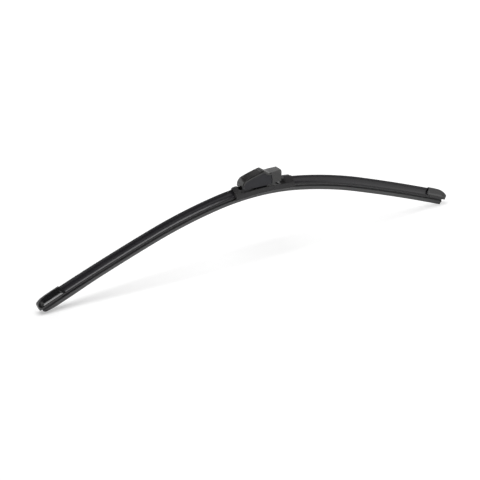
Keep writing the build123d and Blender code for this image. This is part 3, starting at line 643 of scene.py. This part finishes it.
class WIPER_OT_caps(bpy.types.Operator):
    """Make the two end caps."""

    bl_idname = "wiper.caps"
    bl_label = "End Caps"

    def execute(self, context):
        material = moulded_finish("cap plastic", finish_colour("caps"), rough=0.22, grain=0.06, shine=0.8)
        for side, name in ((-1, "left"), (1, "right")):
            skin = cap_skin(side)
            new_piece(f"end_cap_shell_{name}", *skin, "blade", "cap_plastic", f"end_cap_{name}", material)
        return {"FINISHED"}


class WIPER_OT_connector(bpy.types.Operator):
    """Make the connector in the middle."""

    bl_idname = "wiper.connector"
    bl_label = "Connector"

    def execute(self, context):
        material = moulded_finish("connector plastic", finish_colour("connector"), rough=0.3, grain=0.12)
        moulded_copy(
            "connector_cover", "connector_frame", "blade", material, width=0.0003,
            extra=gusset_web())
        return {"FINISHED"}


class WIPER_OT_adapter(bpy.types.Operator):
    """Make the adapter and its flip cover."""

    bl_idname = "wiper.adapter"
    bl_label = "Adapter"

    def execute(self, context):
        body = moulded_finish("adapter plastic", finish_colour("adapter"), rough=0.4, grain=0.2)
        cover = moulded_finish("cover plastic", finish_colour("cover"), rough=0.2, grain=0.1, shine=1.0)
        moulded_copy("adapter_body", "adapter_cheeks", "adapter", body, width=0.0002)
        moulded_copy("adapter_cover", "adapter_flip_cover", "cover", cover, width=0.00045)
        return {"FINISHED"}


class WIPER_OT_steel(bpy.types.Operator):
    """Finish the rails, the bracket and the rivet."""

    bl_idname = "wiper.steel"
    bl_label = "Steel Parts"

    def execute(self, context):
        spring = steel_finish("spring steel", finish_colour("steel"), rough=0.32, metallic=1.0)
        coat = steel_finish("black coat", finish_colour("coat"), rough=0.4, metallic=0.0)
        rivet = steel_finish("rivet steel", finish_colour("steel"), rough=0.28, metallic=1.0)
        chosen = {"rail_front": spring, "rail_rear": spring, "rail_bracket": coat, "pivot_rivet": rivet}
        for node, material in chosen.items():
            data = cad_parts[node].data
            data.materials.clear()
            data.materials.append(material)
        return {"FINISHED"}


class WIPER_OT_stage(bpy.types.Operator):
    """Add the pale floor, the studio light and the camera."""

    bl_idname = "wiper.stage"
    bl_label = "Stage"

    def execute(self, context):
        self.add_floor()
        self.add_light()
        self.add_world()
        self.add_camera()
        bpy.context.scene.view_settings.view_transform = "Standard"
        return {"FINISHED"}

    def add_floor(self):
        """Flat floor under the lip's tips. It goes with the blade, which stands on it."""
        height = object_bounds()[0].z
        reach = 8.0
        corners = [(x * reach, y * reach, height) for x, y in ((-1, -1), (1, -1), (1, 1), (-1, 1))]
        mesh = bpy.data.meshes.new("floor")
        mesh.from_pydata(corners, [], [(0, 1, 2, 3)])
        mesh.materials.append(self.floor_finish())
        floor = placed("floor", mesh)
        floor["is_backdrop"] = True
        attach(floor, "blade")

    def floor_finish(self):
        """Matt white, with painted shade darkening it towards the viewer. The camera sees it white, with
        fainter shadows.
        """
        material, nodes, links, shader = new_material("pale floor")
        coords = nodes.new("ShaderNodeTexCoord").outputs["Object"]
        # Painted shade: the floor's colour falls towards black on the viewer's side, standing in for the
        # unlit front that the blade reflects.
        painted_front_shade = nodes.new("ShaderNodeMix")
        painted_front_shade.data_type = "RGBA"
        painted_front_shade.inputs["A"].default_value = (0.06, 0.06, 0.06, 1.0)
        painted_front_shade.inputs["B"].default_value = finish_colour("floor")
        links.new(front_shade(nodes, links, coords, (0.38, 0.62), 0.0), painted_front_shade.inputs["Factor"])
        links.new(painted_front_shade.outputs["Result"], shader.inputs["Base Color"])
        seen = nodes.new("ShaderNodeBsdfPrincipled")
        seen.inputs["Base Color"].default_value = (0.8, 0.8, 0.8, 1.0)
        seen.inputs["Emission Color"].default_value = (1.0, 1.0, 1.0, 1.0)
        for matt in (shader, seen):
            matt.inputs["Roughness"].default_value = 1.0
            matt.inputs["Specular IOR Level"].default_value = 0.0
        distance = measured(nodes, links, coords, "DISTANCE", (LAMP[0], LAMP[1], -0.1))
        glow = mapped(nodes, links, distance, (0.0, 2.0), (0.2, 1.1))
        links.new(glow, seen.inputs["Emission Strength"])
        path = nodes.new("ShaderNodeLightPath")
        mix = nodes.new("ShaderNodeMixShader")
        links.new(path.outputs["Is Camera Ray"], mix.inputs["Fac"])
        links.new(shader.outputs["BSDF"], mix.inputs[1])
        links.new(seen.outputs["BSDF"], mix.inputs[2])
        links.new(mix.outputs["Shader"], nodes["Material Output"].inputs["Surface"])
        return material

    def add_light(self):
        """One long softbox above the blade, over its left half."""
        lamp = bpy.data.lights.new("overhead softbox", "AREA")
        lamp.shape = "RECTANGLE"
        lamp.size = 1.1
        lamp.size_y = 0.6
        lamp.energy = 9.3
        softbox = placed("overhead softbox", lamp)
        softbox.location = LAMP

    def add_world(self):
        """White near the horizon, dim overhead, dark where the viewer stands. The camera sees it white."""
        world = bpy.data.worlds.new("studio")
        bpy.context.scene.world = world
        world.use_nodes = True
        nodes, links = world.node_tree.nodes, world.node_tree.links
        background = nodes["Background"]
        direction = nodes.new("ShaderNodeTexCoord").outputs["Generated"]
        height = measured(nodes, links, direction, "DOT_PRODUCT", (0.0, 0.15, 1.0))
        sky = mapped(nodes, links, height, (0.58, 0.7), (0.9, 0.12), "SMOOTHSTEP")
        dark = nodes.new("ShaderNodeMath")
        dark.operation = "MULTIPLY"
        links.new(sky, dark.inputs[0])
        links.new(front_shade(nodes, links, direction, (0.62, 0.79), 0.06), dark.inputs[1])
        path = nodes.new("ShaderNodeLightPath")
        level = nodes.new("ShaderNodeMix")
        level.data_type = "FLOAT"
        level.inputs["B"].default_value = 1.0
        links.new(path.outputs["Is Camera Ray"], level.inputs["Factor"])
        links.new(dark.outputs["Value"], level.inputs["A"])
        links.new(level.outputs["Result"], background.inputs["Strength"])
        background.inputs["Color"].default_value = (1.0, 1.0, 1.0, 1.0)

    def add_camera(self):
        """Camera at the picture's viewing angle, in front to the left and above."""
        camera = bpy.data.cameras.new("camera")
        camera.sensor_width = 36.0
        camera.lens = 97.35
        view = placed("camera", camera)
        view.location = (-0.75612, -1.22105, 0.63475)
        aim = Vector((-0.02727, 0.0, -0.07425)) - view.location
        view.rotation_euler = aim.to_track_quat("-Z", "Y").to_euler()
        bpy.context.scene.camera = view


class WIPER_PT_blade(bpy.types.Panel):
    """Sizes, finishes and steps of the wiper blade."""

    bl_label = "Wiper Blade"
    bl_idname = "WIPER_PT_blade"
    bl_space_type = "VIEW_3D"
    bl_region_type = "UI"
    bl_category = "Wiper"

    def draw(self, context):
        column = self.layout.column()
        for name in WiperSizes.__annotations__:
            column.prop(context.scene.wiper_sizes, name)
        for name in WiperFinish.__annotations__:
            column.prop(context.scene.wiper_finish, name)
        for step in STEPS:
            column.operator(step.bl_idname)


STEPS = (
    WIPER_OT_rubber, WIPER_OT_spoilers, WIPER_OT_caps, WIPER_OT_connector, WIPER_OT_adapter, WIPER_OT_steel,
    WIPER_OT_stage,
)
CLASSES = (WiperSizes, WiperFinish, *STEPS, WIPER_PT_blade)


def register():
    """Add the classes and the scene's settings."""
    for item in CLASSES:
        bpy.utils.register_class(item)
    bpy.types.Scene.wiper_sizes = PointerProperty(type=WiperSizes)
    bpy.types.Scene.wiper_finish = PointerProperty(type=WiperFinish)


def unregister():
    """Remove the scene's settings and the classes."""
    del bpy.types.Scene.wiper_finish
    del bpy.types.Scene.wiper_sizes
    for item in reversed(CLASSES):
        bpy.utils.unregister_class(item)


def main():
    """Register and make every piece."""
    register()
    bpy.ops.wiper.rubber()
    bpy.ops.wiper.spoilers()
    bpy.ops.wiper.caps()
    bpy.ops.wiper.connector()
    bpy.ops.wiper.adapter()
    bpy.ops.wiper.steel()
    bpy.ops.wiper.stage()


if __name__ == "__main__":
    main()
